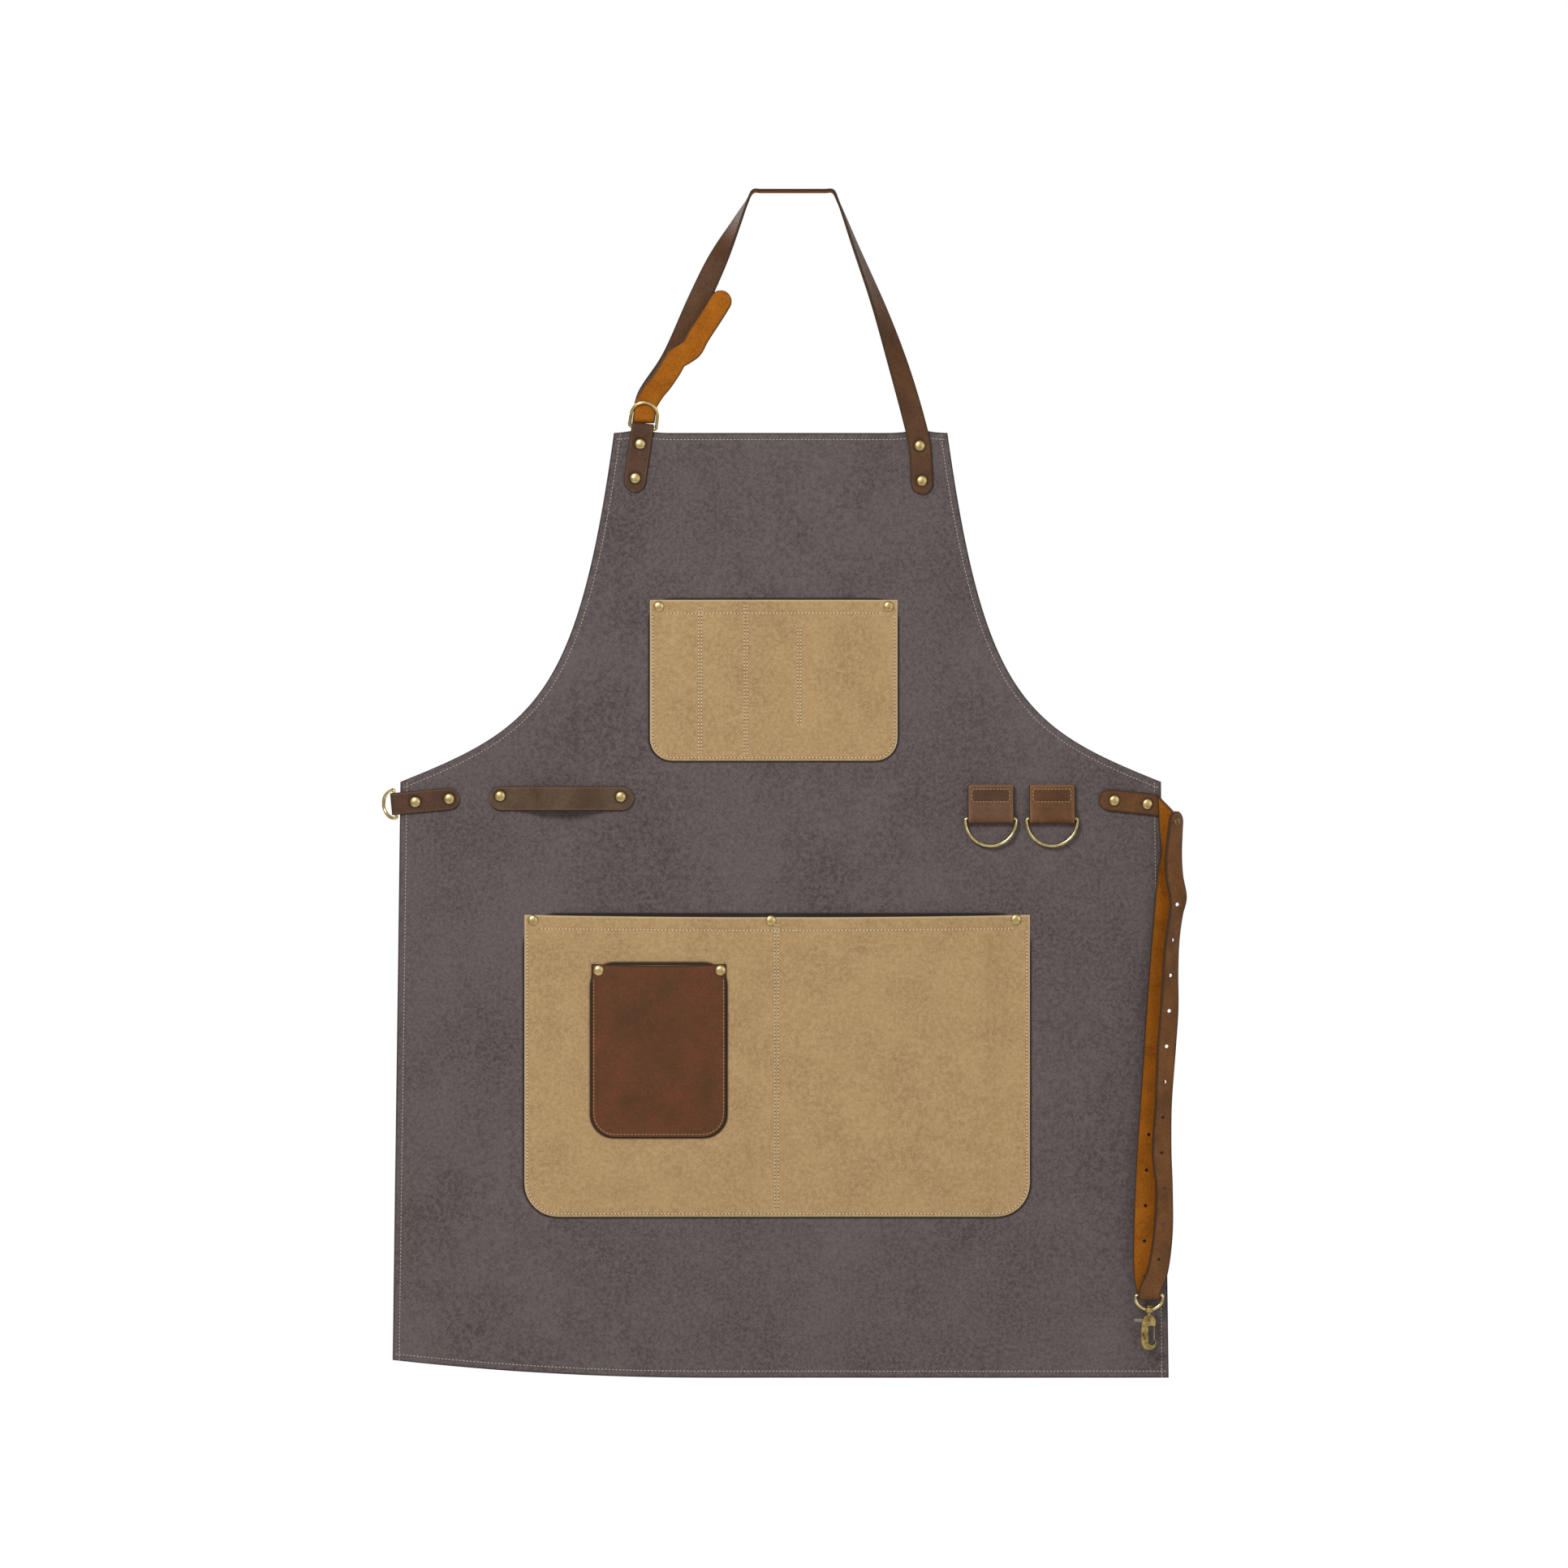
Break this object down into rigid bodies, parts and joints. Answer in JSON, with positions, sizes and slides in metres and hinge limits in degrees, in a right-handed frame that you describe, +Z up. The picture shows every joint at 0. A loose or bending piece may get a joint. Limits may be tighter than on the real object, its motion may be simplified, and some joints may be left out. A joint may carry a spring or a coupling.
{
  "type": "butcher apron",
  "caption": "Full-length canvas work apron with patch pockets, an adjustable leather neck strap, towel loop, tool rings and a waist strap with a swivel snap hook.",
  "frame": {"origin": "middle of the contact line under the top of the neck strap, on the centre line of the panel", "axes": "+Z up along the hanging apron, +X to the viewer's right facing the apron's front, +Y from the front of the panel towards the wearer"},
  "size_m": [0.7235, 0.0309, 1.0692],
  "materials": {
    "panel_canvas": "grey-brown waxed cotton canvas",
    "pocket_cloth": "tan waxed cotton canvas",
    "pocket_leather": "red-brown oiled leather, smooth",
    "tab_leather": "dark brown oiled leather, smooth",
    "strap_leather": "brown oiled leather, orange suede on its flesh side",
    "antique_brass": "antique brass, satin"
  },
  "bodies": {
    "apron": {"body_panel": "panel_canvas", "chest_pocket": "pocket_cloth", "lower_pocket": "pocket_cloth", "leather_pocket": "pocket_leather", "neck_tab": "tab_leather", "neck_strap": "strap_leather", "waist_tab": "tab_leather", "towel_loop": "tab_leather", "tool_tab_left": "tab_leather", "tool_tab_right": "tab_leather", "waist_strap_anchor": "strap_leather", "neck_tab_rivet_1_cap": "antique_brass", "neck_tab_rivet_1_post": "antique_brass", "neck_tab_rivet_2_cap": "antique_brass", "neck_tab_rivet_2_post": "antique_brass", "neck_strap_rivet_1_cap": "antique_brass", "neck_strap_rivet_1_post": "antique_brass", "neck_strap_rivet_2_cap": "antique_brass", "neck_strap_rivet_2_post": "antique_brass", "chest_pocket_rivet_1_cap": "antique_brass", "chest_pocket_rivet_1_post": "antique_brass", "chest_pocket_rivet_2_cap": "antique_brass", "chest_pocket_rivet_2_post": "antique_brass", "lower_pocket_rivet_1_cap": "antique_brass", "lower_pocket_rivet_1_post": "antique_brass", "lower_pocket_rivet_2_cap": "antique_brass", "lower_pocket_rivet_2_post": "antique_brass", "lower_pocket_rivet_3_cap": "antique_brass", "lower_pocket_rivet_3_post": "antique_brass", "leather_pocket_rivet_1_cap": "antique_brass", "leather_pocket_rivet_1_post": "antique_brass", "leather_pocket_rivet_2_cap": "antique_brass", "leather_pocket_rivet_2_post": "antique_brass", "waist_tab_rivet_1_cap": "antique_brass", "waist_tab_rivet_1_post": "antique_brass", "waist_tab_rivet_2_cap": "antique_brass", "waist_tab_rivet_2_post": "antique_brass", "towel_loop_rivet_1_cap": "antique_brass", "towel_loop_rivet_1_post": "antique_brass", "towel_loop_rivet_2_cap": "antique_brass", "towel_loop_rivet_2_post": "antique_brass", "waist_strap_rivet_1_cap": "antique_brass", "waist_strap_rivet_1_post": "antique_brass", "waist_strap_rivet_2_cap": "antique_brass", "waist_strap_rivet_2_post": "antique_brass"},
    "neck_ring_front": {"neck_dring_front": "antique_brass"},
    "neck_ring_back": {"neck_dring_back": "antique_brass"},
    "waist_ring": {"waist_dring": "antique_brass"},
    "tool_ring_left": {"tool_dring_left": "antique_brass"},
    "tool_ring_right": {"tool_dring_right": "antique_brass"},
    "waist_strap": {"waist_strap": "strap_leather", "strap_stud": "antique_brass"},
    "snap_eye": {"snap_eye": "antique_brass"},
    "snap_hook": {"snap_hook": "antique_brass", "trigger_pin": "antique_brass"},
    "snap_trigger": {"snap_trigger": "antique_brass"}
  },
  "joints": [
    {"name": "neck_ring_front_tilt", "type": "hinge", "parent": "apron", "child": "neck_ring_front", "pos_m": [-0.12414, -0.00095, -0.21147], "axis": [0.9898, 0, -0.1426], "range_deg": [0, 6]},
    {"name": "neck_ring_back_tilt", "type": "hinge", "parent": "apron", "child": "neck_ring_back", "pos_m": [-0.12414, 0.00215, -0.21147], "axis": [0.9898, 0, -0.1426], "range_deg": [-2, 2]},
    {"name": "waist_ring_swing", "type": "hinge", "parent": "apron", "child": "waist_ring", "pos_m": [-0.34648, 0.0006, -0.54988], "axis": [-0.0941, 0, 0.9956], "range_deg": [-35, 115]},
    {"name": "tool_ring_left_swing", "type": "hinge", "parent": "apron", "child": "tool_ring_left", "pos_m": [0.1888, -0.0046, -0.563], "axis": [-1, 0, 0], "range_deg": [-5, 150]},
    {"name": "tool_ring_right_swing", "type": "hinge", "parent": "apron", "child": "tool_ring_right", "pos_m": [0.2439, -0.0046, -0.563], "axis": [-1, 0, 0], "range_deg": [-5, 150]},
    {"name": "waist_strap_swing", "type": "hinge", "parent": "apron", "child": "waist_strap", "pos_m": [0.34, -0.0045, -0.553], "axis": [0, -1, 0], "range_deg": [-8, 100]},
    {"name": "snap_eye_swing", "type": "hinge", "parent": "waist_strap", "child": "snap_eye", "pos_m": [0.3305, -0.014, -0.9906], "axis": [-1, 0, 0], "range_deg": [-2, 80]},
    {"name": "snap_swivel", "type": "hinge", "parent": "snap_eye", "child": "snap_hook", "pos_m": [0.3305, -0.014, -1.004], "axis": [0, 0, 1], "continuous": true},
    {"name": "snap_trigger_press", "type": "hinge", "parent": "snap_hook", "child": "snap_trigger", "pos_m": [0.3305, -0.014, -1.0134], "axis": [0, 1, 0], "range_deg": [0, 10], "stiffness_Nm_per_rad": 0.01, "springref_deg": -11.46}
  ]
}
